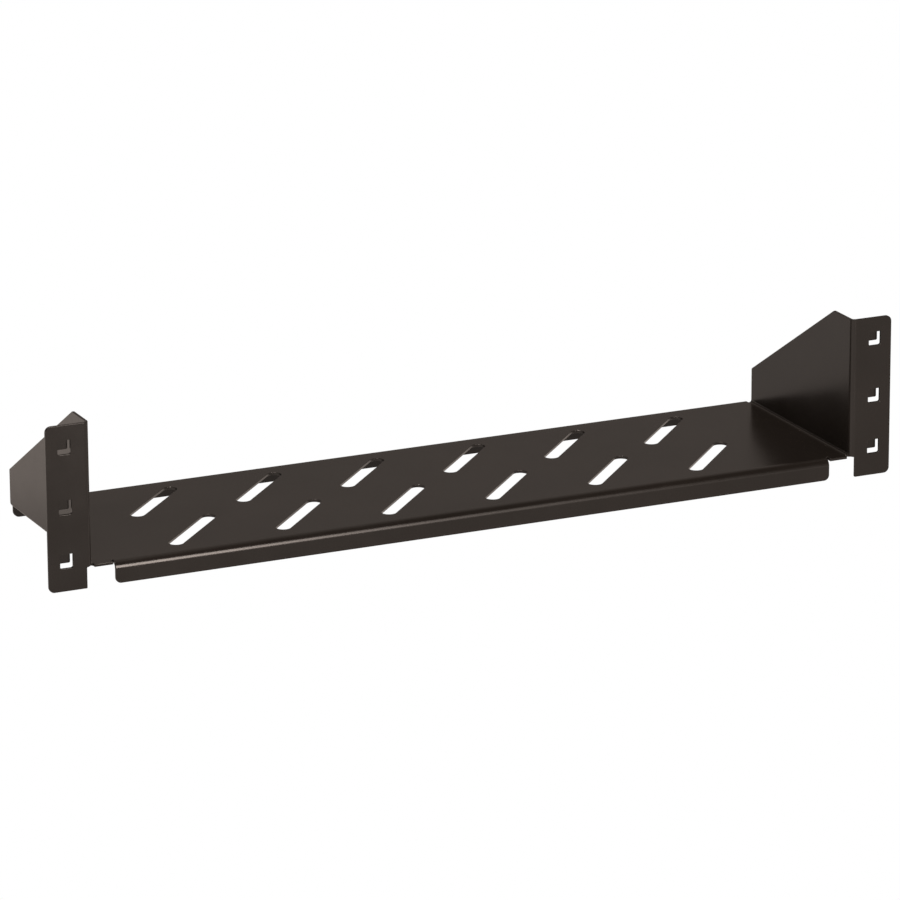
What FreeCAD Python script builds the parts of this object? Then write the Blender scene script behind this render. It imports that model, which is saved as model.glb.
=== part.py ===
import FreeCAD, Part
import math
import os
import Sketcher

# Two-unit cantilever shelf for a 19-inch equipment rack, folded from one
# blank of 1.5 mm steel sheet.
#
# Frame: millimetres, +Z up, +Y from the rack front into the rack, +X to the
# right when facing the rack. Origin: on the centre plane, in the plane of the
# ears' back faces, which bear on the rack uprights, level with the bottom
# edge of the ears.
#
# One blank gives everything: the tray plate, the front and rear lips folded
# down, the two side walls folded up, the two ears folded outward from the
# front ends of the walls, and three lanced hook tabs in each ear.

doc = FreeCAD.newDocument("cantilever_shelf")

# ---------------------------------------------------------------- dimensions
sheet = doc.addObject("Spreadsheet::Sheet", "dims")
DIMS = [
    # alias, value, meaning
    ("gauge", 1.5, "sheet thickness"),
    ("bend_in", 1.5, "inner radius of every main bend but the front one"),
    ("bend_out", 3.0, "outer radius of those bends, inner radius plus gauge"),
    ("front_in", 2.5, "inner radius of the front lip's bend"),
    ("front_out", 4.0, "outer radius of the front lip's bend, inner radius plus gauge"),
    ("ear_edge", 242.5, "centre plane to the outer edge of an ear"),
    ("ear_height", 88.1, "height of an ear, a two-unit panel"),
    ("ear_corner", 3.2, "radius of the outer corners of an ear"),
    ("wall_out", 220.0, "centre plane to the outer face of a side wall"),
    ("wall_in", 218.5, "centre plane to the inner face of a side wall"),
    ("ear_root", 221.5, "centre plane to the end of the ear bend, also the inner edge below it"),
    ("relief_top", 11.2, "level where the ear bend ends above the corner notch"),
    ("relief_side", 217.2, "centre plane to the inner side of a corner relief"),
    ("relief_back", 3.2, "rear end of a corner relief"),
    ("plate_top", 12.0, "level of the upper face of the tray plate"),
    ("plate_under", 10.5, "level of the lower face of the tray plate"),
    ("plate_front", 0.8, "front edge of the plate beside the front lip"),
    ("tray_depth", 120.0, "front face of the lip to the back face of the rear lip"),
    ("lip_half", 206.0, "half length of the front lip"),
    ("lip_relief", 0.9, "width of the slit at each end of the front lip"),
    ("lip_root", 4.6, "depth of the slit at each end of the front lip"),
    ("lip_bottom", 0.3, "level of the lower edge of the front lip"),
    ("lip_corner", 3.0, "radius of the lower corners of the front lip"),
    ("rear_half", 217.0, "half length of the rear lip"),
    ("rear_bottom", 3.2, "level of the lower edge of the rear lip"),
    ("rear_corner", 3.5, "radius of the lower corners of the rear lip"),
    ("rear_run", 108.0, "start of the rear stretch of plate"),
    ("wall_rear", 115.0, "rear edge of a side wall"),
    ("wall_step", 31.4, "top of the rear edge of a side wall"),
    ("wall_apex", 21.0, "rear end of the level top edge of a side wall"),
    ("wall_corner", 0.8, "radius of the corners of a side wall"),
    ("slot_pitch", 60.0, "column to column distance of the slots"),
    ("slot_count", 6, "slots in a row"),
    ("slot_length", 54.0, "slot length over its round ends"),
    ("slot_round", 3.85, "half width of a slot and radius of its ends"),
    ("slot_lean", 46.5, "angle of the slots from the shelf length, in degrees"),
    ("slot_front", 33.6, "centre line of the front row of slots"),
    ("slot_rear", 87.0, "centre line of the rear row of slots"),
    ("hook_line", 232.55, "centre plane to the centre of a hook opening"),
    ("hook_half", 3.5, "half width of a hook opening"),
    ("hook_tall", 7.5, "height of a hook opening"),
    ("hook_low", 12.2, "lower edge of the lowest opening"),
    ("hook_mid", 40.775, "lower edge of the middle opening"),
    ("hook_high", 72.525, "lower edge of the highest opening"),
    ("hook_corner", 1.0, "radius of the lower corners of an opening"),
    ("tab_half", 3.0, "half width of a hook tab"),
    ("tab_step", 3.0, "how far a tab is set back from the ear"),
    ("tab_gap", 1.9, "lower end of a tab above the lower edge of its opening"),
    ("tab_neck", 1.0, "thickness of the drawn neck that carries a tab"),
    ("tab_in", 0.3, "inner radius at both ends of a neck"),
    ("tab_out", 1.0, "outer radius where a neck turns into its tab"),
    ("tab_corner", 0.8, "radius of the lower corners of a tab"),
]
for row, (alias, value, note) in enumerate(DIMS, start=1):
    sheet.set("A%d" % row, note)
    sheet.set("B%d" % row, str(value))
    sheet.setAlias("B%d" % row, alias)
doc.recompute()
D = {alias: float(value) for alias, value, note in DIMS}


# ------------------------------------------------------------------- helpers
def plane(body, role):
    for item in body.Origin.OriginFeatures:
        if item.Role == role:
            return item
    raise RuntimeError("no origin plane " + role)


def evaluate(text):
    """The value of an expression over the dims sheet, for a first guess."""
    return float(sheet.evalExpression(text.replace("dims.", "")))


def new_sketch(body, name, role, offset=None):
    sk = body.newObject("Sketcher::SketchObject", name)
    sk.AttachmentSupport = [(plane(body, role), "")]
    sk.MapMode = "FlatFace"
    if offset is not None:
        sk.setExpression("AttachmentOffset.Base.z", offset)
    return sk


def pin(sk, geo, pos, ex, ey):
    """Fix one point of a sketch at two expressions over the dims sheet."""
    for kind, ex_ in (("DistanceX", ex), ("DistanceY", ey)):
        i = sk.addConstraint(Sketcher.Constraint(kind, -1, 1, geo, pos, evaluate(ex_)))
        name = "k%d" % i
        sk.renameConstraint(i, name)
        sk.setExpression("Constraints." + name, ex_)


def loop(sk, points):
    """A closed polygon; every corner is a pair of expressions."""
    values = [(evaluate(a), evaluate(b)) for a, b in points]
    n = len(points)
    first = sk.GeometryCount
    for i in range(n):
        p, q = values[i], values[(i + 1) % n]
        sk.addGeometry(Part.LineSegment(FreeCAD.Vector(p[0], p[1], 0), FreeCAD.Vector(q[0], q[1], 0)), False)
    for i in range(n):
        sk.addConstraint(Sketcher.Constraint("Coincident", first + i, 2, first + (i + 1) % n, 1))
    for i in range(n):
        pin(sk, first + i, 1, points[i][0], points[i][1])


def slot(sk, cx, cy, dx, dy, radius):
    """An obround: centre, half spacing of its end centres, end radius."""
    x, y, u, v, r = (evaluate(e) for e in (cx, cy, dx, dy, radius))
    ln = (u * u + v * v) ** 0.5
    nx, ny = -v / ln * r, u / ln * r
    a, b = FreeCAD.Vector(x - u, y - v, 0), FreeCAD.Vector(x + u, y + v, 0)
    nv = FreeCAD.Vector(nx, ny, 0)
    ang = math.atan2(v, u)
    z = FreeCAD.Vector(0, 0, 1)
    g = sk.GeometryCount
    sk.addGeometry(Part.LineSegment(a - nv, b - nv), False)
    sk.addGeometry(Part.ArcOfCircle(Part.Circle(b, z, r), ang - math.pi / 2, ang + math.pi / 2), False)
    sk.addGeometry(Part.LineSegment(b + nv, a + nv), False)
    sk.addGeometry(Part.ArcOfCircle(Part.Circle(a, z, r), ang + math.pi / 2, ang + 3 * math.pi / 2), False)
    sk.addConstraint(Sketcher.Constraint("Tangent", g, 2, g + 1, 1))
    sk.addConstraint(Sketcher.Constraint("Tangent", g + 1, 2, g + 2, 1))
    sk.addConstraint(Sketcher.Constraint("Tangent", g + 2, 2, g + 3, 1))
    sk.addConstraint(Sketcher.Constraint("Tangent", g + 3, 2, g, 1))
    sk.addConstraint(Sketcher.Constraint("Equal", g + 1, g + 3))
    pin(sk, g + 1, 3, "(%s)+(%s)" % (cx, dx), "(%s)+(%s)" % (cy, dy))
    pin(sk, g + 3, 3, "(%s)-(%s)" % (cx, dx), "(%s)-(%s)" % (cy, dy))
    i = sk.addConstraint(Sketcher.Constraint("Radius", g + 1, r))
    sk.renameConstraint(i, "k%d" % i)
    sk.setExpression("Constraints.k%d" % i, radius)


def ear_bend_profile(sk, side):
    """Plan of one ear bend: a stretch of wall, a quarter turn, a stretch of
    ear. Both arcs share one centre; side is -1 on the left, 1 on the right."""
    sg = "-" if side < 0 else ""
    xc, yc = side * D["ear_root"], D["bend_out"]
    ro, ri = D["bend_out"], D["bend_in"]
    y_end, x_end = D["bend_out"] + 3.0, side * (D["ear_root"] + 2.0)
    z = FreeCAD.Vector(0, 0, 1)
    if side > 0:
        arc = (math.pi, 1.5 * math.pi)
        out_wall, out_ear = 1, 2
    else:
        arc = (1.5 * math.pi, 2 * math.pi)
        out_wall, out_ear = 2, 1
    V = lambda x, y: FreeCAD.Vector(x, y, 0)
    g = sk.GeometryCount
    sk.addGeometry(Part.LineSegment(V(xc - side * ro, y_end), V(xc - side * ro, yc)), False)
    sk.addGeometry(Part.ArcOfCircle(Part.Circle(V(xc, yc), z, ro), *arc), False)
    sk.addGeometry(Part.LineSegment(V(xc, yc - ro), V(x_end, yc - ro)), False)
    sk.addGeometry(Part.LineSegment(V(x_end, yc - ro), V(x_end, yc - ri)), False)
    sk.addGeometry(Part.LineSegment(V(x_end, yc - ri), V(xc, yc - ri)), False)
    sk.addGeometry(Part.ArcOfCircle(Part.Circle(V(xc, yc), z, ri), *arc), False)
    sk.addGeometry(Part.LineSegment(V(xc - side * ri, yc), V(xc - side * ri, y_end)), False)
    sk.addGeometry(Part.LineSegment(V(xc - side * ri, y_end), V(xc - side * ro, y_end)), False)
    C = Sketcher.Constraint
    for item in (C("Tangent", g, 2, g + 1, out_wall), C("Tangent", g + 1, out_ear, g + 2, 1),
                 C("Coincident", g + 2, 2, g + 3, 1), C("Coincident", g + 3, 2, g + 4, 1),
                 C("Tangent", g + 4, 2, g + 5, out_ear), C("Tangent", g + 5, out_wall, g + 6, 1),
                 C("Coincident", g + 6, 2, g + 7, 1), C("Coincident", g + 7, 2, g, 1),
                 C("Vertical", g), C("Vertical", g + 6), C("Vertical", g + 3),
                 C("Horizontal", g + 2), C("Horizontal", g + 4), C("Horizontal", g + 7)):
        sk.addConstraint(item)
    pin(sk, g + 1, 3, sg + "dims.ear_root", "dims.bend_out")
    pin(sk, g + 5, 3, sg + "dims.ear_root", "dims.bend_out")
    for geo, radius in ((g + 1, "dims.bend_out"), (g + 5, "dims.bend_in")):
        i = sk.addConstraint(C("Radius", geo, evaluate(radius)))
        sk.renameConstraint(i, "k%d" % i)
        sk.setExpression("Constraints.k%d" % i, radius)
    i = sk.addConstraint(C("DistanceY", -1, 1, g, 1, y_end))
    sk.renameConstraint(i, "k%d" % i)
    sk.setExpression("Constraints.k%d" % i, "dims.bend_out + 3")
    i = sk.addConstraint(C("DistanceX", -1, 1, g + 3, 1, x_end))
    sk.renameConstraint(i, "k%d" % i)
    sk.setExpression("Constraints.k%d" % i, sg + "(dims.ear_root + 2)")


def mirrored(points):
    """The same polygon on the other side of the sketch's vertical axis."""
    return [("-(%s)" % a, b) for a, b in reversed(points)]


def edges_at(shape, want, tol=0.02):
    """Names of the straight edges that run along an axis through a point.

    want is a list of (axis, a, b): axis 0, 1 or 2, and the two other
    coordinates in order."""
    names = []
    for i, e in enumerate(shape.Edges, start=1):
        if not isinstance(e.Curve, Part.Line) and e.Curve.TypeId != "Part::GeomLine":
            continue
        p, q = e.Vertexes[0].Point, e.Vertexes[-1].Point
        for axis, a, b in want:
            o = [k for k in (0, 1, 2) if k != axis]
            if all(abs(v[o[0]] - a) < tol and abs(v[o[1]] - b) < tol for v in (p, q)):
                names.append("Edge%d" % i)
                break
    return names


def fillet(body, name, radius, want, count):
    doc.recompute()
    base = body.Tip
    names = edges_at(base.Shape, want)
    if len(names) != count:
        raise RuntimeError("%s found %d edges, expected %d" % (name, len(names), count))
    f = body.newObject("PartDesign::Fillet", name)
    f.Base = (base, names)
    f.setExpression("Radius", radius)
    doc.recompute()
    return f


def volume_step(body, name, low, high):
    """Stop if a feature did not change the volume by about what it should."""
    doc.recompute()
    now = body.Tip.Shape.Volume
    change = now - volume_step.last
    volume_step.last = now
    if not (low <= change <= high):
        raise RuntimeError("%s changed the volume by %.1f" % (name, change))
    print("%-14s %10.1f  change %9.1f" % (name, now, change))


volume_step.last = 0.0

# --------------------------------------------------------------- the one piece
body = doc.addObject("PartDesign::Body", "folded_shelf")
body.Label = "folded_shelf"
doc.recompute()

# Tray plate with both side walls folded up: one U section, run from the
# front edge of the plate to the rear edge of the walls.
sk = new_sketch(body, "tray_section", "XZ_Plane", "-dims.plate_front")
loop(sk, [
    ("-dims.wall_out", "dims.ear_height"),
    ("-dims.wall_out", "dims.plate_under"),
    ("dims.wall_out", "dims.plate_under"),
    ("dims.wall_out", "dims.ear_height"),
    ("dims.wall_in", "dims.ear_height"),
    ("dims.wall_in", "dims.plate_top"),
    ("-dims.wall_in", "dims.plate_top"),
    ("-dims.wall_in", "dims.ear_height"),
])
pad = body.newObject("PartDesign::Pad", "tray")
pad.Profile = sk
pad.Reversed = True
pad.setExpression("Length", "dims.wall_rear - dims.plate_front")
volume_step(body, "tray", 90000, 110000)

# Wall profile: level top edge behind the ear, long slant to the low rear end.
sk = new_sketch(body, "wall_outline", "YZ_Plane")
loop(sk, [
    ("dims.wall_apex", "dims.ear_height"),
    ("dims.wall_rear", "dims.wall_step"),
    ("dims.wall_rear + 3", "dims.wall_step"),
    ("dims.wall_rear + 3", "dims.ear_height + 3"),
    ("dims.wall_apex", "dims.ear_height + 3"),
])
cut = body.newObject("PartDesign::Pocket", "wall_slant")
cut.Profile = sk
cut.Type = "ThroughAll"
cut.Midplane = True
volume_step(body, "wall_slant", -8600, -7400)

# Bends between the plate and the walls.
fillet(body, "side_bend_out", "dims.bend_out",
       [(1, s * D["wall_out"], D["plate_under"]) for s in (-1, 1)], 2)
fillet(body, "side_bend_in", "dims.bend_in",
       [(1, s * D["wall_in"], D["plate_top"]) for s in (-1, 1)], 2)
volume_step(body, "side_bends", -420, -50)

# Rear stretch of the plate with the rear lip folded down. It stops where the
# side bends begin, so the walls stay clear of the rear fold.
sk = new_sketch(body, "rear_section", "YZ_Plane")
loop(sk, [
    ("dims.rear_run", "dims.plate_under"),
    ("dims.rear_run", "dims.plate_top"),
    ("dims.tray_depth", "dims.plate_top"),
    ("dims.tray_depth", "dims.rear_bottom"),
    ("dims.tray_depth - dims.gauge", "dims.rear_bottom"),
    ("dims.tray_depth - dims.gauge", "dims.plate_under"),
])
pad = body.newObject("PartDesign::Pad", "rear_lip")
pad.Profile = sk
pad.Midplane = True
pad.setExpression("Length", "2 * dims.rear_half")
volume_step(body, "rear_lip", 7000, 9000)
fillet(body, "rear_bend_out", "dims.bend_out", [(0, D["tray_depth"], D["plate_top"])], 1)
fillet(body, "rear_bend_in", "dims.bend_in",
       [(0, D["tray_depth"] - D["gauge"], D["plate_under"])], 1)
fillet(body, "rear_corners", "dims.rear_corner",
       [(1, s * D["rear_half"], D["rear_bottom"]) for s in (-1, 1)], 2)

# The front edge of the plate is cut back along the front lip, with a narrow
# slit left at each of its ends.
sk = new_sketch(body, "lip_seat", "XY_Plane")
loop(sk, [
    ("-(dims.lip_half + dims.lip_relief)", "-1"),
    ("dims.lip_half + dims.lip_relief", "-1"),
    ("dims.lip_half + dims.lip_relief", "dims.lip_root"),
    ("-(dims.lip_half + dims.lip_relief)", "dims.lip_root"),
])
cut = body.newObject("PartDesign::Pocket", "lip_seat_cut")
cut.Profile = sk
cut.Type = "ThroughAll"
cut.Midplane = True
volume_step(body, "lip_seat_cut", -3200, -2400)

# Front lip folded down from the plate.
sk = new_sketch(body, "lip_section", "YZ_Plane")
loop(sk, [
    ("0", "dims.lip_bottom"),
    ("dims.gauge", "dims.lip_bottom"),
    ("dims.gauge", "dims.plate_under"),
    ("dims.lip_root + 4", "dims.plate_under"),
    ("dims.lip_root + 4", "dims.plate_top"),
    ("0", "dims.plate_top"),
])
pad = body.newObject("PartDesign::Pad", "front_lip")
pad.Profile = sk
pad.Midplane = True
pad.setExpression("Length", "2 * dims.lip_half")
volume_step(body, "front_lip", 7500, 9500)
fillet(body, "lip_bend_out", "dims.front_out", [(0, 0.0, D["plate_top"])], 1)
fillet(body, "lip_bend_in", "dims.front_in", [(0, D["gauge"], D["plate_under"])], 1)
fillet(body, "lip_corners", "dims.lip_corner",
       [(1, s * D["lip_half"], D["lip_bottom"]) for s in (-1, 1)], 2)
volume_step(body, "lip_bends", -1700, -500)

# The wall is cut back over the height of the ear bend, down to the notch.
sides = new_sketch(body, "ear_seat_plan", "XY_Plane", "dims.relief_top")
seat = [
    ("dims.wall_in - 0.6", "-1"),
    ("dims.wall_out + 1", "-1"),
    ("dims.wall_out + 1", "dims.bend_out"),
    ("dims.wall_in - 0.6", "dims.bend_out"),
]
loop(sides, seat)
loop(sides, mirrored(seat))
cut = body.newObject("PartDesign::Pocket", "ear_seat_cut")
cut.Profile = sides
cut.Reversed = True
cut.setExpression("Length", "dims.ear_height")
volume_step(body, "ear_seat_cut", -600, -400)

# Corner relief: the front end of each side bend is cut away below the ear
# bend, so that the two bends do not tear each other.
sk = new_sketch(body, "relief_plan", "XY_Plane", "dims.relief_top")
relief = [
    ("dims.relief_side", "-1"),
    ("dims.wall_out + 1", "-1"),
    ("dims.wall_out + 1", "dims.relief_back"),
    ("dims.relief_side", "dims.relief_back"),
]
loop(sk, relief)
loop(sk, mirrored(relief))
cut = body.newObject("PartDesign::Pocket", "corner_relief")
cut.Profile = sk
cut.setExpression("Length", "dims.relief_top")
volume_step(body, "corner_relief", -12, -2)

# Bend from the front end of each wall out into the ear.
sk = new_sketch(body, "ear_bend_plan", "XY_Plane", "dims.relief_top")
for side in (-1, 1):
    ear_bend_profile(sk, side)
pad = body.newObject("PartDesign::Pad", "ear_bend")
pad.Profile = sk
pad.setExpression("Length", "dims.ear_height - dims.relief_top")
volume_step(body, "ear_bend", 1000, 2200)

# Ears: flat panels that also run down past the tray to the bottom edge.
sk = new_sketch(body, "ear_outline", "XZ_Plane")
ear = [
    ("dims.ear_root", "0"),
    ("dims.ear_edge", "0"),
    ("dims.ear_edge", "dims.ear_height"),
    ("dims.ear_root", "dims.ear_height"),
]
loop(sk, ear)
loop(sk, mirrored(ear))
pad = body.newObject("PartDesign::Pad", "ears")
pad.Profile = sk
pad.Reversed = True
pad.setExpression("Length", "dims.gauge")
volume_step(body, "ears", 4300, 5600)
fillet(body, "ear_corners", "dims.ear_corner",
       [(1, s * D["ear_edge"], z) for s in (-1, 1) for z in (0.0, D["ear_height"])], 4)

# Corners of the walls: the apex and both ends of the rear edge.
fillet(body, "wall_corners", "dims.wall_corner",
       [(0, D["wall_apex"], D["ear_height"]), (0, D["wall_rear"], D["wall_step"])], 4)

# Three hook openings in each ear.
sk = new_sketch(body, "hook_openings", "XZ_Plane")
for low in ("dims.hook_low", "dims.hook_mid", "dims.hook_high"):
    opening = [
        ("dims.hook_line - dims.hook_half", low),
        ("dims.hook_line + dims.hook_half", low),
        ("dims.hook_line + dims.hook_half", low + " + dims.hook_tall"),
        ("dims.hook_line - dims.hook_half", low + " + dims.hook_tall"),
    ]
    loop(sk, opening)
    loop(sk, mirrored(opening))
cut = body.newObject("PartDesign::Pocket", "hook_cut")
cut.Profile = sk
cut.Reversed = True
cut.Midplane = True
cut.setExpression("Length", "4 * dims.gauge")
volume_step(body, "hook_cut", -500, -440)
LOWS = (D["hook_low"], D["hook_mid"], D["hook_high"])
fillet(body, "hook_corners", "dims.hook_corner",
       [(1, s * (D["hook_line"] + k * D["hook_half"]), z)
        for s in (-1, 1) for k in (-1, 1) for z in LOWS], 12)

# Hook tabs: each opening's own metal, still joined along the top edge, drawn
# straight back through a thinned neck and hanging parallel to the ear.
volume_step(body, "before_tabs", -300, 300)
for side, sign in (("left", "-"), ("right", "")):
    sk = new_sketch(body, "tab_section_" + side, "YZ_Plane", sign + "dims.hook_line")
    for low in ("dims.hook_low", "dims.hook_mid", "dims.hook_high"):
        top = low + " + dims.hook_tall"
        loop(sk, [
            ("dims.gauge / 2", top),
            ("dims.tab_step", top),
            ("dims.tab_step", low + " + dims.tab_gap"),
            ("dims.tab_step + dims.gauge", low + " + dims.tab_gap"),
            ("dims.tab_step + dims.gauge", top + " + dims.tab_neck"),
            ("dims.gauge / 2", top + " + dims.tab_neck"),
        ])
    pad = body.newObject("PartDesign::Pad", "tabs_" + side)
    pad.Profile = sk
    pad.Midplane = True
    pad.setExpression("Length", "2 * dims.tab_half")
    doc.recompute()
volume_step(body, "tabs", 360, 460)
TOPS = [z + D["hook_tall"] for z in LOWS]
fillet(body, "tab_bends_out", "dims.tab_out",
       [(0, D["tab_step"] + D["gauge"], z + D["tab_neck"]) for z in TOPS], 6)
fillet(body, "tab_bends_in", "dims.tab_in",
       [(0, D["tab_step"], z) for z in TOPS]
       + [(0, D["gauge"], z + D["tab_neck"]) for z in TOPS], 12)
fillet(body, "tab_corners", "dims.tab_corner",
       [(1, s * (D["hook_line"] + k * D["tab_half"]), z + D["tab_gap"])
        for s in (-1, 1) for k in (-1, 1) for z in LOWS], 12)

# Slots: two rows of six leaning obrounds through the plate.
sk = new_sketch(body, "slot_outline", "XY_Plane", "dims.plate_top + 1")
reach = "(dims.slot_length / 2 - dims.slot_round)"
for line in ("dims.slot_front", "dims.slot_rear"):
    slot(sk, "-dims.slot_pitch * (dims.slot_count - 1) / 2", line,
         reach + " * cos(dims.slot_lean)", reach + " * sin(dims.slot_lean)", "dims.slot_round")
cut = body.newObject("PartDesign::Pocket", "slot_pair")
cut.Profile = sk
cut.setExpression("Length", "dims.gauge + 2")
volume_step(body, "slot_pair", -1260, -1100)
rows = body.newObject("PartDesign::LinearPattern", "slot_rows")
rows.Originals = [cut]
rows.Direction = (plane(body, "X_Axis"), [""])
rows.setExpression("Length", "dims.slot_pitch * (dims.slot_count - 1)")
rows.setExpression("Occurrences", "dims.slot_count")
body.Tip = rows
volume_step(body, "slot_rows", -6300, -5500)

# The sketches measure Y from the ears' front faces; the finished part is set
# so that Y is zero in the ears' back faces, the plane of the rack uprights.
body.Placement = FreeCAD.Placement()
body.setExpression("Placement.Base.y", "-dims.gauge")
doc.recompute()

# ------------------------------------------------------------------- checking
for item in doc.Objects:
    bad = [flag for flag in item.State if flag in ("Invalid", "Error")]
    if bad:
        raise RuntimeError("%s is %s" % (item.Name, bad))
for item in doc.Objects:
    if item.TypeId == "Sketcher::SketchObject" and item.solve() != 0:
        raise RuntimeError("sketch %s does not solve" % item.Name)
shape = body.Shape
if shape.isNull() or not shape.isValid() or len(shape.Solids) != 1:
    raise RuntimeError("folded_shelf is not one valid solid")
box = shape.BoundBox
print("box %.2f %.2f %.2f to %.2f %.2f %.2f" % (box.XMin, box.YMin, box.ZMin, box.XMax, box.YMax, box.ZMax))
print("solid volume %.1f mm3, steel mass %.3f kg" % (shape.Volume, shape.Volume * 7.85e-6))

# -------------------------------------------------------------------- writing
os.makedirs("parts", exist_ok=True)
shape.exportStep("parts/%s.step" % body.Label)
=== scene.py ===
"""Looks of a cantilever rack shelf folded from one sheet of steel.

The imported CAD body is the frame. Here the same sheet is made again as a fine
mesh: the flat blank with its slots, lanced tabs and slits is drawn in the
plane, given its thickness and its softened edges, and then folded along the
same bend lines, with the same radii, as the CAD body. Then come the powder
coat, the pale floor, the lights and the camera.
"""

import math

import bmesh
import bpy
import numpy as np
from mathutils import Matrix, Vector
from mathutils.geometry import delaunay_2d_cdt

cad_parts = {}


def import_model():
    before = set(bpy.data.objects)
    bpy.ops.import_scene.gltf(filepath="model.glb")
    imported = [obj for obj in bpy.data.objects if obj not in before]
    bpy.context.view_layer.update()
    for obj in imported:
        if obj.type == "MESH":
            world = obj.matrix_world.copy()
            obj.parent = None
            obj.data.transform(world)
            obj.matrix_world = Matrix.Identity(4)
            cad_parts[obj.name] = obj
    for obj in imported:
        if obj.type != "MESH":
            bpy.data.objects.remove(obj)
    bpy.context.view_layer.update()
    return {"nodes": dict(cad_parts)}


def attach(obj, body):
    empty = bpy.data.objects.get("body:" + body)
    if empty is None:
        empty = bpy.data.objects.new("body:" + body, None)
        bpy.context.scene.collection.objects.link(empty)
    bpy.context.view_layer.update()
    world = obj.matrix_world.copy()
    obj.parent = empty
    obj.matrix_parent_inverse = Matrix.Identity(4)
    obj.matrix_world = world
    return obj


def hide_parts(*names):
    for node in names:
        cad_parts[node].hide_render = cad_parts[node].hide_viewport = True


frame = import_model()

# ------------------------------------------------------------------ dimensions
# Millimetres. y is measured from the ears' front faces while folding; the
# finished sheet is shifted by one gauge, so that y = 0 is the ears' back faces.
GAUGE = 1.5
HALF = GAUGE / 2
MID = 2.25                    # mid-surface radius of the main bends
ARC = MID * math.pi / 2       # mid-surface length of a 90 degree bend
EDGE = 0.26                   # softened sheared edges, with the coat on them
EAR_EDGE, EAR_ROOT, EAR_TOP, EAR_CORNER = 242.5, 221.5, 88.1, 3.2
WALL_BEND, WALL_BEND_Z = 217.0, 13.5
PLATE_MID, REAR_BEND_Z = 11.25, 9.0
LIP_BEND, LIP_BEND_Z = 4.0, 8.0
LIP_MID = 3.25                # the front lip is folded over a larger radius
LIP_ARC = LIP_MID * math.pi / 2
FRONT_BEND, REAR_BEND = 3.0, 117.0
PLATE_FRONT, LIP_HALF, LIP_SLIT, LIP_ROOT = 0.8, 206.0, 206.9, 4.6
LIP_BOTTOM, LIP_CORNER = 0.3, 3.0
REAR_HALF, REAR_BOTTOM, REAR_CORNER = 217.0, 3.2, 3.5
RELIEF_TOP, RELIEF_SIDE, RELIEF_BACK = 11.2, 217.2, 3.2
WALL_REAR, WALL_STEP, WALL_APEX, WALL_CORNER = 115.0, 31.4, 21.0, 0.8
SLOT_X = [-150.0 + 60.0 * i for i in range(6)]
SLOT_Y = (33.6, 87.0)
SLOT_LENGTH, SLOT_ROUND, SLOT_LEAN = 54.0, 3.85, 46.5
HOOK_LINE, HOOK_HALF, HOOK_TALL, HOOK_CORNER = 232.55, 3.5, 7.5, 1.0
HOOK_LOWS = (12.2, 40.775, 72.525)
TAB_HALF, TAB_STEP, TAB_GAP, TAB_NECK, TAB_CORNER = 3.0, 3.0, 1.9, 1.0, 0.8
TAB_IN, TAB_OUT = 0.3, 1.0
# A tab starts EDGE above its opening. Its length in the blank is shared out
# over the front corner, the neck, the turn and the tab itself.
TAB_STOPS = (0.3, 0.7, 1.1, 6.55)

# places in the flat blank
EAR_ROOT_Y = FRONT_BEND - ARC                      # where the ear flat begins
EAR_EDGE_Y = EAR_ROOT_Y - (EAR_EDGE - EAR_ROOT)
HOOK_Y = EAR_ROOT_Y - (HOOK_LINE - EAR_ROOT)       # centre line of the openings
SLIT_Y = (HOOK_HALF + TAB_HALF) / 2                # middle of a tab's side slits


def blank_x(z):
    """Blank coordinate of a level on a side wall or an ear."""
    return WALL_BEND + ARC + (z - WALL_BEND_Z)


# ------------------------------------------------------------------- contours
def rounded(corners, step=9.0):
    """A closed polyline from corners (x, y, radius), with true arcs."""
    out = []
    n = len(corners)
    for i in range(n):
        p0 = Vector(corners[i - 1][:2])
        p1 = Vector(corners[i][:2])
        p2 = Vector(corners[(i + 1) % n][:2])
        r = corners[i][2]
        a, b = (p0 - p1).normalized(), (p2 - p1).normalized()
        if r <= 0:
            out.append(p1)
            continue
        inner = math.acos(max(-1.0, min(1.0, a.dot(b))))
        reach = r / math.tan(inner / 2)
        centre = p1 + (a + b).normalized() * (r / math.sin(inner / 2))
        s, e = p1 + a * reach, p1 + b * reach
        t0 = math.atan2(s.y - centre.y, s.x - centre.x)
        t1 = math.atan2(e.y - centre.y, e.x - centre.x)
        turn = (t1 - t0 + math.pi) % (2 * math.pi) - math.pi
        k = max(3, int(math.ceil(abs(math.degrees(turn)) / step)))
        for j in range(k + 1):
            t = t0 + turn * j / k
            out.append(centre + Vector((math.cos(t), math.sin(t))) * r)
    return out


def area(poly):
    return 0.5 * sum(poly[i - 1].x * poly[i].y - poly[i].x * poly[i - 1].y for i in range(len(poly)))


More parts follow.
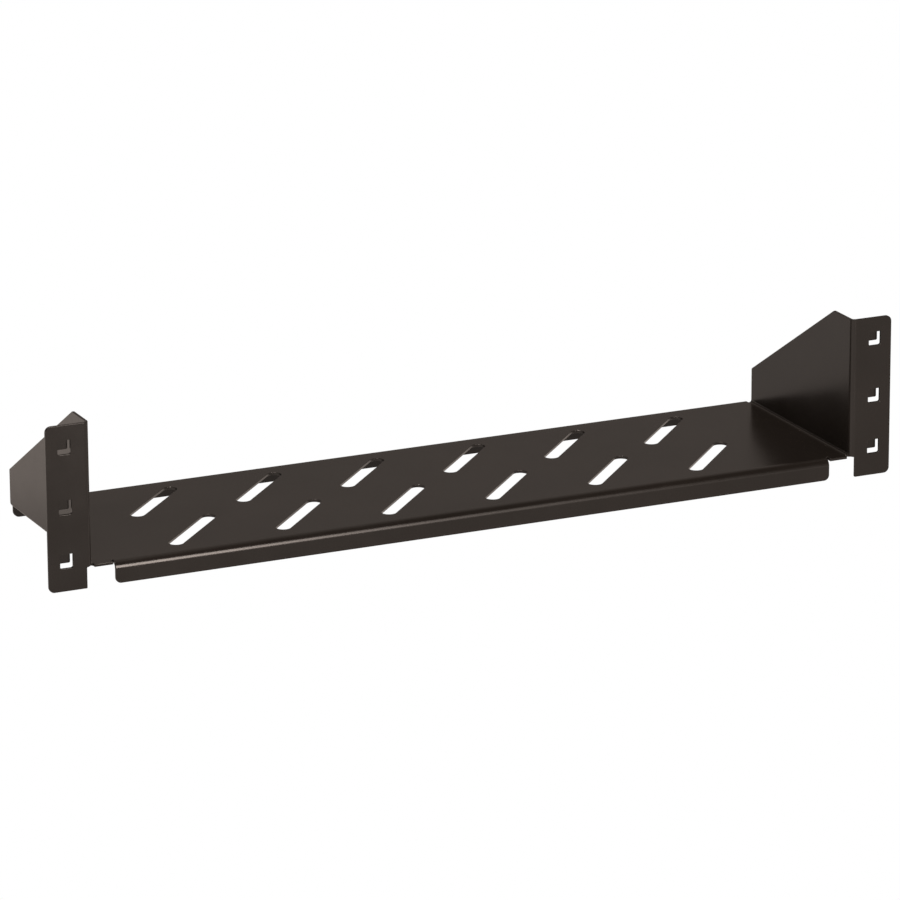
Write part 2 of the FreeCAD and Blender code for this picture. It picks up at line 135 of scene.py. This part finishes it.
def outer_contour():
    low = LIP_BEND - LIP_ARC - (LIP_BEND_Z - LIP_BOTTOM)
    rear = REAR_BEND + ARC + (REAR_BEND_Z - REAR_BOTTOM)
    foot, crown = blank_x(0.0), blank_x(EAR_TOP)
    right = [
        (LIP_HALF, low, LIP_CORNER),
        (LIP_HALF, LIP_ROOT, 0.3),
        (LIP_SLIT, LIP_ROOT, 0.3),
        (LIP_SLIT, PLATE_FRONT, 0.35),
        (RELIEF_SIDE, PLATE_FRONT, 0.35),
        (RELIEF_SIDE, RELIEF_BACK, 0.45),
        (blank_x(RELIEF_TOP), RELIEF_BACK, 0.45),
        (blank_x(RELIEF_TOP), EAR_ROOT_Y, 0.3),
        (foot, EAR_ROOT_Y, 0.4),
        (foot, EAR_EDGE_Y, EAR_CORNER),
        (crown, EAR_EDGE_Y, EAR_CORNER),
        (crown, WALL_APEX, WALL_CORNER),
        (blank_x(WALL_STEP), WALL_REAR, WALL_CORNER),
        (REAR_HALF, WALL_REAR, 0.45),
        (REAR_HALF, rear, REAR_CORNER),
    ]
    left = [(-x, y, r) for x, y, r in reversed(right)]
    return rounded(right + left)


def slot_contour(cx, cy):
    t = math.radians(SLOT_LEAN)
    d, n = Vector((math.cos(t), math.sin(t))), Vector((-math.sin(t), math.cos(t)))
    h, r = SLOT_LENGTH / 2 - SLOT_ROUND, SLOT_ROUND
    c = Vector((cx, cy))
    out, k = [], 20
    for end, sign in ((c + d * h, 1), (c - d * h, -1)):
        for j in range(k + 1):
            a = -math.pi / 2 + math.pi * j / k
            out.append(end + (d * math.cos(a) + n * math.sin(a)) * (r * sign))
    return out


def opening_contour(side, low):
    """The slit round one lanced tab: the opening less the tab's own metal."""
    zl, zt = blank_x(low), blank_x(low + HOOK_TALL)
    yc = HOOK_Y
    end = zt + EDGE - TAB_STOPS[-1]
    pts = [
        (zt, yc + HOOK_HALF, 0.06), (zl, yc + HOOK_HALF, HOOK_CORNER),
        (zl, yc - HOOK_HALF, HOOK_CORNER), (zt, yc - HOOK_HALF, 0.06),
        (zt, yc - TAB_HALF, 0.06), (end, yc - TAB_HALF, TAB_CORNER),
        (end, yc + TAB_HALF, TAB_CORNER), (zt, yc + TAB_HALF, 0.06),
    ]
    if side < 0:
        pts = [(-x, y, r) for x, y, r in reversed(pts)]
    return rounded(pts)


def contours():
    loops = [outer_contour()]
    if area(loops[0]) < 0:
        loops[0].reverse()
    holes = [slot_contour(x, y) for y in SLOT_Y for x in SLOT_X]
    holes += [opening_contour(s, low) for s in (-1, 1) for low in HOOK_LOWS]
    for h in holes:
        if area(h) > 0:
            h.reverse()
    return loops + holes


def clean(poly, tol=1e-4):
    out = [p for i, p in enumerate(poly) if (p - poly[i - 1]).length > tol]
    return out


# ---------------------------------------------------------------- flat blank
def flat_blank():
    """A closed flat sheet with softened edges, as a bmesh in millimetres.
    Each vertex carries its surface normal in the layer 'flat'."""
    bm = bmesh.new()
    layer = bm.verts.layers.float_vector.new("flat")
    steps = 3
    profile = []              # (inset, level, outward share, upward share)
    for k in range(steps, -1, -1):
        a = k / steps * math.pi / 2
        profile.append((EDGE * (1 - math.cos(a)), -(HALF - EDGE) - EDGE * math.sin(a), math.cos(a), -math.sin(a)))
    profile += [(d, -w, o, -u) for d, w, o, u in reversed(profile)]
    caps = {1: [], -1: []}    # rings of (2-D point, vertex)
    for poly in contours():
        poly = clean(poly)
        n = len(poly)
        grid, mitres = [], []
        for i in range(n):
            e0 = (poly[i] - poly[i - 1]).normalized()
            e1 = (poly[(i + 1) % n] - poly[i]).normalized()
            n0, n1 = Vector((-e0.y, e0.x)), Vector((-e1.y, e1.x))
            mitres.append((n0 + n1) / (1 + n0.dot(n1)))
        for inset, level, out, up in profile:
            row = []
            for p, m in zip(poly, mitres):
                q = p + m * inset
                v = bm.verts.new((q.x, q.y, level))
                o = -m.normalized()
                v[layer] = Vector((o.x * out, o.y * out, up)).normalized()
                row.append(v)
            grid.append(row)
        for j in range(len(grid) - 1):
            for i in range(n):
                k = (i + 1) % n
                bm.faces.new((grid[j][i], grid[j][k], grid[j + 1][k], grid[j + 1][i]))
        caps[-1].append(grid[0])
        caps[1].append(grid[-1])
    for side, rings in caps.items():
        pts, verts, edges = [], [], []
        for ring in rings:
            first = len(pts)
            for i, v in enumerate(ring):
                pts.append(Vector((v.co.x, v.co.y)))
                verts.append(v)
                edges.append((first + i, first + (i + 1) % len(ring)))
        seg = np.array([[*pts[a], *pts[b]] for a, b in edges])
        # one crease across the root of every tab
        flat = np.array([[*q] for q in pts])
        for s in (-1, 1):
            for low in HOOK_LOWS:
                root = blank_x(low + HOOK_TALL) + EDGE
                ends = [np.array([s * root, HOOK_Y + k * (TAB_HALF + 0.06)]) for k in (-1, 1)]
                edges.append(tuple(int(np.argmin(((flat - e) ** 2).sum(axis=1))) for e in ends))
        out_v, _, out_f, orig_v, _, _ = delaunay_2d_cdt(pts, edges, [], 0, 1e-6)
        tri = np.array([[[*out_v[i]] for i in f] for f in out_f])
        mid = tri.mean(axis=1)
        # even-odd test of every triangle's centre against all the contours
        crossings = np.zeros(len(mid), int)
        for x0, y0, x1, y1 in seg:
            hit = (y0 > mid[:, 1]) != (y1 > mid[:, 1])
            if hit.any():
                xx = x0 + (mid[:, 1] - y0) * (x1 - x0) / (y1 - y0 if y1 != y0 else 1e-12)
                crossings += hit & (mid[:, 0] < xx)
        for f, inside in zip(out_f, crossings % 2 == 1):
            if not inside:
                continue
            ids = [orig_v[i][0] for i in f]
            if len(set(ids)) < 3:
                continue
            tri_v = [verts[i] for i in ids]
            a, b, c = (v.co for v in tri_v)
            up = (b.x - a.x) * (c.y - a.y) - (c.x - a.x) * (b.y - a.y)
            if (up > 0) != (side > 0):
                tri_v.reverse()
            bm.faces.new(tri_v)
    bm.verts.ensure_lookup_table()
    return bm, layer


def cut(bm, axis, place, keep=None):
    """Cut every face that crosses a line of the blank, with nothing removed."""
    co = [0.0, 0.0, 0.0]
    no = [0.0, 0.0, 0.0]
    co[axis], no[axis] = place, 1.0
    faces = [f for f in bm.faces if keep is None or keep(f)]
    edges = {e for f in faces for e in f.edges}
    verts = {v for f in faces for v in f.verts}
    bmesh.ops.bisect_plane(bm, geom=list(verts) + list(edges) + faces, dist=1e-5, plane_co=co, plane_no=no)


def cut_bend_lines(bm):
    n = 12
    for k in range(n + 1):
        cut(bm, 1, FRONT_BEND - ARC * k / n, lambda f: any(v.co.y < 6 and abs(v.co.x) > LIP_SLIT for v in f.verts))
        cut(bm, 1, LIP_BEND - LIP_ARC * k / n, lambda f: any(v.co.y < 6 and abs(v.co.x) < LIP_SLIT for v in f.verts))
        cut(bm, 1, REAR_BEND + ARC * k / n, lambda f: any(v.co.y > 100 for v in f.verts))
        for s in (-1, 1):
            cut(bm, 0, s * (WALL_BEND + ARC * k / n), lambda f, s=s: any(v.co.x * s > 200 for v in f.verts))
    marks = [TAB_STOPS[0] * k / 3 for k in (1, 2, 3)]
    marks += [TAB_STOPS[1] + (TAB_STOPS[2] - TAB_STOPS[1]) * k / 6 for k in range(7)]
    for s in (-1, 1):
        for low in HOOK_LOWS:
            root = blank_x(low + HOOK_TALL) + EDGE
            for q in marks:
                cut(bm, 0, s * (root - q), lambda f, s=s, root=root: all(
                    abs(v.co.y - HOOK_Y) < SLIT_Y and root - 7 < s * v.co.x < root + 1e-4 for v in f.verts))


# -------------------------------------------------------------------- folding
def regions(x, y):
    """Which part of the blank each point belongs to."""
    r = np.abs(x)
    slit_y = (PLATE_FRONT + EAR_ROOT_Y) / 2
    relief = (RELIEF_SIDE + blank_x(RELIEF_TOP)) / 2
    lip = (r < (LIP_HALF + LIP_SLIT) / 2) & (y < LIP_BEND)
    rear = (y > REAR_BEND) & (r < REAR_HALF + 0.1)
    flange = ((r > (LIP_HALF + LIP_SLIT) / 2) & (y < slit_y)) | (r > relief)
    corner = (r > WALL_BEND) & ~flange
    tab, brow = np.zeros(len(x), int), np.zeros(len(x), int)
    off = np.abs(y - HOOK_Y)
    for i, low in enumerate(HOOK_LOWS, start=1):
        zt = blank_x(low + HOOK_TALL)
        soft = 0.9
        dx = np.maximum(off - (SLIT_Y - soft), 0)
        dz = np.maximum(zt - 6.9 + soft - r, 0)
        tab[(np.hypot(dx, dz) < soft) & (r <= zt + EDGE + 1e-4)] = i
        brow[(off > SLIT_Y) & (off < HOOK_HALF + EDGE + 0.03) & (r > zt - 0.07) & (r < zt + EDGE + 0.01)] = i
    return {"lip": lip, "rear": rear, "flange": flange, "corner": corner, "tab": tab, "brow": brow}


def fold(x, y, w, where):
    """From the flat blank (x, y, height over the mid-surface) to the shelf."""
    sign = np.where(x < 0, -1.0, 1.0)
    r = np.abs(x)
    X, Y, Z = r.copy(), y.copy(), PLATE_MID + w

    def quarter(q, mid=MID):
        t = np.clip(q / mid, 0, math.pi / 2)
        return t, np.maximum(q - mid * math.pi / 2, 0)

    # front lip and rear lip, both folded down: the top face is outside
    for key, q, y0, z0, mid, way in (("lip", LIP_BEND - y, LIP_BEND, LIP_BEND_Z, LIP_MID, -1),
                                     ("rear", y - REAR_BEND, REAR_BEND, REAR_BEND_Z, MID, 1)):
        m = where[key]
        t, run = quarter(q, mid)
        Y = np.where(m, y0 + way * (mid + w) * np.sin(t), Y)
        Z = np.where(m, z0 + (mid + w) * np.cos(t) - run, Z)

    # side bends, folded up: the top face is inside
    s = r - WALL_BEND
    t, run = quarter(s)
    bx = WALL_BEND + (MID - w) * np.sin(t) + np.minimum(s, 0)
    bz = WALL_BEND_Z - (MID - w) * np.cos(t) + run
    side = (where["corner"] | where["flange"])
    X = np.where(side, bx, X)
    Z = np.where(side, bz, Z)

    # ears, folded outward from the upright wall
    q = FRONT_BEND - y
    t, run = quarter(q)
    ex = EAR_ROOT - (MID + w) * np.cos(t) + run
    ey = FRONT_BEND - (MID + w) * np.sin(t)
    ez = WALL_BEND_Z + s - ARC
    share = np.clip(q / ARC, 0, 1)
    share = share * share * (3 - 2 * share)
    ear = where["flange"] & (q > 0)
    vx = EAR_ROOT - MID - w
    X = np.where(ear, ex + (1 - share) * (bx - vx), X)
    Y = np.where(ear, ey, Y)
    Z = np.where(ear, ez + (1 - share) * (bz - ez), Z)

    # tabs, drawn straight back behind the ear and hanging parallel to it
    back = (HALF - w) / GAUGE                     # 0 on the front face, 1 on the back
    rise = TAB_NECK + TAB_IN - EDGE
    for i, low in enumerate(HOOK_LOWS, start=1):
        m = where["tab"] == i
        top, end = low + HOOK_TALL, low + TAB_GAP
        q = blank_x(top) + EDGE - r
        p0, p1, p2, p3 = TAB_STOPS
        a = np.clip(q / p0, 0, 1) * math.pi / 2
        l = np.clip((q - p0) / (p1 - p0), 0, 1)
        b = np.clip((q - p1) / (p2 - p1), 0, 1) * math.pi / 2
        d = np.maximum((q - p2) / (p3 - p2), 0)
        above = np.maximum(-q, 0)
        fy = EDGE * (1 - np.cos(a)) + l * (TAB_STEP - EDGE - TAB_IN) + TAB_IN * np.sin(b)
        fz = top + EDGE - EDGE * np.sin(a) - TAB_IN * (1 - np.cos(b)) - d * (top - TAB_IN - end) + above
        gy = GAUGE + TAB_IN * (1 - np.cos(a)) + l * (TAB_STEP - TAB_IN - TAB_OUT) + TAB_OUT * np.sin(b)
        gz = top + TAB_NECK + TAB_IN * (1 - np.sin(a)) - TAB_OUT * (1 - np.cos(b)) - d * (top + TAB_NECK - TAB_OUT - end) + above
        Y = np.where(m, fy + (gy - fy) * back, Y)
        Z = np.where(m, fz + (gz - fz) * back, Z)
        # the ends of the side slits follow the neck up through the sheet
        Z = np.where(where["brow"] == i, Z + rise * back, Z)
    return np.stack([sign * X, Y - GAUGE, Z], axis=1)


def folded_mesh(name):
    bm, layer = flat_blank()
    cut_bend_lines(bm)
    bmesh.ops.triangulate(bm, faces=[f for f in bm.faces if len(f.verts) > 4])
    bm.verts.ensure_lookup_table()
    flat = np.array([v.co[:] for v in bm.verts], float)
    nrm = np.array([v[layer][:] for v in bm.verts], float)
    nrm /= np.linalg.norm(nrm, axis=1)[:, None]
    x, y, w = flat.T
    where = regions(x, y)
    here = fold(x, y, w, where)
    h = 1e-3
    fx = (fold(x + h, y, w, where) - fold(x - h, y, w, where)) / (2 * h)
    fy = (fold(x, y + h, w, where) - fold(x, y - h, w, where)) / (2 * h)
    fw = (fold(x, y, w + h, where) - fold(x, y, w - h, where)) / (2 * h)
    n3 = (nrm[:, :1] * np.cross(fy, fw) + nrm[:, 1:2] * np.cross(fw, fx) + nrm[:, 2:] * np.cross(fx, fy))
    n3 /= np.linalg.norm(n3, axis=1)[:, None]
    for v, p in zip(bm.verts, here):
        v.co = Vector(p) * 0.001
    bm.verts.layers.float_vector.remove(layer)
    me = bpy.data.meshes.new(name)
    bm.to_mesh(me)
    bm.free()
    me.shade_smooth()
    me.normals_split_custom_set_from_vertices([tuple(n) for n in n3])
    ob = bpy.data.objects.new(name, me)
    bpy.context.scene.collection.objects.link(ob)
    return ob


shelf = folded_mesh("powder_coated_shelf")


# ------------------------------------------------------------------- material
def powder_coat():
    mat = bpy.data.materials.new("powder_coat")
    mat.use_nodes = True
    nt = mat.node_tree
    nt.nodes.clear()
    N, L = nt.nodes.new, nt.links.new
    out = N("ShaderNodeOutputMaterial")
    bsdf = N("ShaderNodeBsdfPrincipled")
    L(bsdf.outputs["BSDF"], out.inputs["Surface"])
    co = N("ShaderNodeTexCoord")

    def noise(scale, detail, rough, distort=0.0):
        n = N("ShaderNodeTexNoise")
        n.inputs["Scale"].default_value = scale
        n.inputs["Detail"].default_value = detail
        n.inputs["Roughness"].default_value = rough
        n.inputs["Distortion"].default_value = distort
        L(co.outputs["Object"], n.inputs["Vector"])
        return n

    def ramp(source, stops):
        r = N("ShaderNodeValToRGB")
        r.color_ramp.elements[0].position = stops[0][0]
        r.color_ramp.elements[0].color = (*stops[0][1], 1)
        r.color_ramp.elements[1].position = stops[-1][0]
        r.color_ramp.elements[1].color = (*stops[-1][1], 1)
        for pos, col in stops[1:-1]:
            e = r.color_ramp.elements.new(pos)
            e.color = (*col, 1)
        L(source, r.inputs["Fac"])
        return r

    # colour: a dark brown-grey that drifts a little from place to place
    drift = noise(14.0, 3.0, 0.55)
    tone = ramp(drift.outputs["Fac"], [(0.30, (0.0106, 0.0089, 0.0076)), (0.70, (0.0140, 0.0117, 0.0100))])
    L(tone.outputs["Color"], bsdf.inputs["Base Color"])

    # gloss: satin, slightly uneven, duller where the coat is coarser
    grain = noise(2600.0, 2.0, 0.6)
    cloud = noise(38.0, 4.0, 0.6)
    gloss = N("ShaderNodeMapRange")
    gloss.inputs["From Min"].default_value = 0.3
    gloss.inputs["From Max"].default_value = 0.7
    gloss.inputs["To Min"].default_value = 0.195
    gloss.inputs["To Max"].default_value = 0.255
    L(cloud.outputs["Fac"], gloss.inputs["Value"])
    L(gloss.outputs["Result"], bsdf.inputs["Roughness"])

    # surface: orange peel, with a finer grain on it
    peel = noise(620.0, 2.5, 0.5, 0.3)
    b1 = N("ShaderNodeBump")
    b1.inputs["Strength"].default_value = 1.0
    b1.inputs["Distance"].default_value = 0.0000105
    L(peel.outputs["Fac"], b1.inputs["Height"])
    b2 = N("ShaderNodeBump")
    b2.inputs["Strength"].default_value = 1.0
    b2.inputs["Distance"].default_value = 0.0000022
    L(grain.outputs["Fac"], b2.inputs["Height"])
    L(b1.outputs["Normal"], b2.inputs["Normal"])
    L(b2.outputs["Normal"], bsdf.inputs["Normal"])
    bsdf.inputs["Metallic"].default_value = 0.0
    bsdf.inputs["IOR"].default_value = 1.5
    return mat


coat = powder_coat()
shelf.data.materials.clear()
shelf.data.materials.append(coat)
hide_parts("folded_shelf")
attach(shelf, "root")
for node in frame["nodes"].values():
    node.data.materials.clear()
    node.data.materials.append(coat)


# ---------------------------------------------------------------------- stage
# A plain white sweep far enough below that no shadow reaches the picture. The lens sees it as clean white paper; the
# metal sees it as a painted glow, softly lit and fading, with two dimmer pools of painted shade.
FLOOR_Z = -0.42
WARM = (1.16, 1.0, 0.90)


def stops(ramp, points, tint=WARM):
    r = ramp.color_ramp
    r.elements[0].position, r.elements[1].position = points[0][0], points[-1][0]
    r.elements[0].color = (*[c * points[0][1] for c in tint], 1)
    r.elements[1].color = (*[c * points[-1][1] for c in tint], 1)
    for pos, v in points[1:-1]:
        e = r.elements.new(pos)
        e.color = (*[c * v for c in tint], 1)


def floor():
    me = bpy.data.meshes.new("floor")
    n, radius = 96, 60.0
    pts = [(math.cos(2 * math.pi * i / n) * radius, math.sin(2 * math.pi * i / n) * radius, 0.0) for i in range(n)]
    me.from_pydata(pts, [], [tuple(range(n))])
    ob = bpy.data.objects.new("floor", me)
    ob.location.z = FLOOR_Z
    bpy.context.scene.collection.objects.link(ob)
    mat = bpy.data.materials.new("floor_paper")
    mat.use_nodes = True
    nt = mat.node_tree
    nt.nodes.clear()
    N, L = nt.nodes.new, nt.links.new
    out, mix = N("ShaderNodeOutputMaterial"), N("ShaderNodeMixShader")
    path, lit, white = N("ShaderNodeLightPath"), N("ShaderNodeEmission"), N("ShaderNodeEmission")
    lit.inputs["Color"].default_value = (*WARM, 1)
    # painted shade: two softly dimmer pools in the floor's glow, one in front and one behind
    co, least = N("ShaderNodeTexCoord"), N("ShaderNodeMath")
    least.operation = "MINIMUM"
    for slot, (centre, glow) in enumerate((((0.60, -1.30, 0.0), FLOOR_FRONT), ((-0.55, 1.15, 0.0), FLOOR_REAR))):
        away, painted_shade_pool = N("ShaderNodeVectorMath"), N("ShaderNodeMapRange")
        away.operation = "DISTANCE"
        away.inputs[1].default_value = centre
        L(co.outputs["Object"], away.inputs[0])
        painted_shade_pool.interpolation_type = "SMOOTHSTEP"
        for key, value in (("From Min", 0.75), ("From Max", 1.7), ("To Min", glow), ("To Max", FLOOR_OPEN)):
            painted_shade_pool.inputs[key].default_value = value
        L(away.outputs["Value"], painted_shade_pool.inputs["Value"])
        L(painted_shade_pool.outputs["Result"], least.inputs[slot])
    L(least.outputs["Value"], lit.inputs["Strength"])
    L(path.outputs["Is Camera Ray"], mix.inputs["Fac"])
    L(lit.outputs["Emission"], mix.inputs[1])
    L(white.outputs["Emission"], mix.inputs[2])
    L(mix.outputs["Shader"], out.inputs["Surface"])
    me.materials.append(mat)
    return ob


# glow of the floor: in the front and rear pools of painted shade, and in the open
FLOOR_FRONT, FLOOR_REAR, FLOOR_OPEN = 0.42, 0.36, 0.72
floor()


def world():
    w = bpy.data.worlds.new("studio")
    bpy.context.scene.world = w
    w.use_nodes = True
    nt = w.node_tree
    nt.nodes.clear()
    N, L = nt.nodes.new, nt.links.new
    out, mix = N("ShaderNodeOutputWorld"), N("ShaderNodeMixShader")
    glow, white = N("ShaderNodeBackground"), N("ShaderNodeBackground")
    path, co, sep = N("ShaderNodeLightPath"), N("ShaderNodeTexCoord"), N("ShaderNodeSeparateXYZ")
    L(co.outputs["Generated"], sep.inputs["Vector"])

    def between(source, a, b):
        m = N("ShaderNodeMapRange")
        m.interpolation_type = "SMOOTHSTEP"
        m.inputs["From Min"].default_value, m.inputs["From Max"].default_value = a, b
        L(source, m.inputs["Value"])
        return m.outputs["Result"]

    # one fade over the height for the front of the room, one for the rear
    shades = []
    for points in ([(0.0, 0.30), (0.15, 0.22), (0.30, 0.18), (0.46, 0.06), (0.65, 0.03), (1.0, 0.03)],
                   [(0.0, 0.45), (0.13, 0.22), (0.30, 0.140), (0.44, 0.23), (0.65, 0.30), (1.0, 0.20)]):
        ramp = N("ShaderNodeValToRGB")
        ramp.color_ramp.interpolation = "EASE"
        stops(ramp, points)
        L(sep.outputs["Z"], ramp.inputs["Fac"])
        shades.append(ramp.outputs["Color"])
    both = N("ShaderNodeMix")
    both.data_type = "RGBA"
    L(between(sep.outputs["Y"], -0.05, 0.30), both.inputs[0])
    L(shades[0], both.inputs[6])
    L(shades[1], both.inputs[7])
    L(both.outputs[2], glow.inputs["Color"])
    # and a dim corner low down at the rear left
    dot, dim = N("ShaderNodeVectorMath"), N("ShaderNodeMapRange")
    dot.operation = "DOT_PRODUCT"
    dot.inputs[1].default_value = Vector((-0.42, 0.86, 0.29)).normalized()
    L(co.outputs["Generated"], dot.inputs[0])
    dim.inputs["To Min"].default_value, dim.inputs["To Max"].default_value = 1.0, 0.10
    L(between(dot.outputs["Value"], 0.925, 0.985), dim.inputs["Value"])
    L(dim.outputs["Result"], glow.inputs["Strength"])

    white.inputs["Color"].default_value = (1, 1, 1, 1)
    L(path.outputs["Is Camera Ray"], mix.inputs["Fac"])
    L(glow.outputs["Background"], mix.inputs[1])
    L(white.outputs["Background"], mix.inputs[2])
    L(mix.outputs["Shader"], out.inputs["Surface"])


world()


def panel(name, centre, target, size, power, colour):
    data = bpy.data.lights.new(name, "AREA")
    data.shape = "RECTANGLE"
    data.size, data.size_y = size
    data.energy = power
    data.color = colour
    ob = bpy.data.objects.new(name, data)
    bpy.context.scene.collection.objects.link(ob)
    ob.location = centre
    ob.rotation_mode = "QUATERNION"
    ob.rotation_quaternion = (Vector(centre) - Vector(target)).to_track_quat("Z", "Y")
    ob.visible_camera = False
    return ob


def watts(radiance, size):
    """Power of a panel of this size that looks this bright."""
    return radiance * math.pi * size[0] * size[1]


WARM_LIGHT = tuple(c / WARM[0] for c in WARM)
# the main softbox stands low in front on the right, and fades to its right
AIM, ACROSS = Vector((0.361, -0.883, 0.301)), Vector((0.925, 0.379, 0.0))
for k, (start, end, glow) in enumerate(((-0.30, 0.0, 13.2), (0.0, 0.05, 7.6), (0.05, 0.13, 2.5), (0.13, 0.30, 0.9)), start=1):
    at = Vector((0.26, -1.0, 0.28)) + ACROSS * ((start + end) / 2)
    panel("front_panel_%d" % k, at, at - AIM, (end - start, 0.60), watts(glow, (end - start, 0.60)), WARM_LIGHT)
panel("left_rear_panel", (-0.62, 0.80, -0.06), (-0.22, 0.05, 0.18), (0.42, 0.34), watts(0.42, (0.42, 0.34)), WARM_LIGHT)
panel("overhead_panel", (-0.20, 0.10, 2.5), (-0.20, 0.05, 0.0), (0.35, 1.20), watts(34, (0.35, 1.20)), WARM_LIGHT)

# --------------------------------------------------------------------- camera
cam_data = bpy.data.cameras.new("camera")
cam = bpy.data.objects.new("camera", cam_data)
bpy.context.scene.collection.objects.link(cam)
az, el, roll = math.radians(24.659), math.radians(16.926), math.radians(0.288)
fwd = Vector((math.sin(az) * math.cos(el), math.cos(az) * math.cos(el), -math.sin(el)))
right = Vector((math.cos(az), -math.sin(az), 0.0))
down = fwd.cross(right)
right, down = right * math.cos(roll) + down * math.sin(roll), -right * math.sin(roll) + down * math.cos(roll)
m = Matrix.Identity(4)
for i in range(3):
    m[i][0], m[i][1], m[i][2] = right[i], -down[i], -fwd[i]
m.translation = Vector((-1.2337, -2.6488, 0.9333))
cam.matrix_world = m
cam_data.sensor_width = 36.0
cam_data.lens = 5852.0 / 900.0 * 36.0
cam_data.clip_start, cam_data.clip_end = 0.05, 200.0
bpy.context.scene.camera = cam
bpy.context.scene.view_settings.view_transform = "Standard"
bpy.context.scene.view_settings.look = "None"
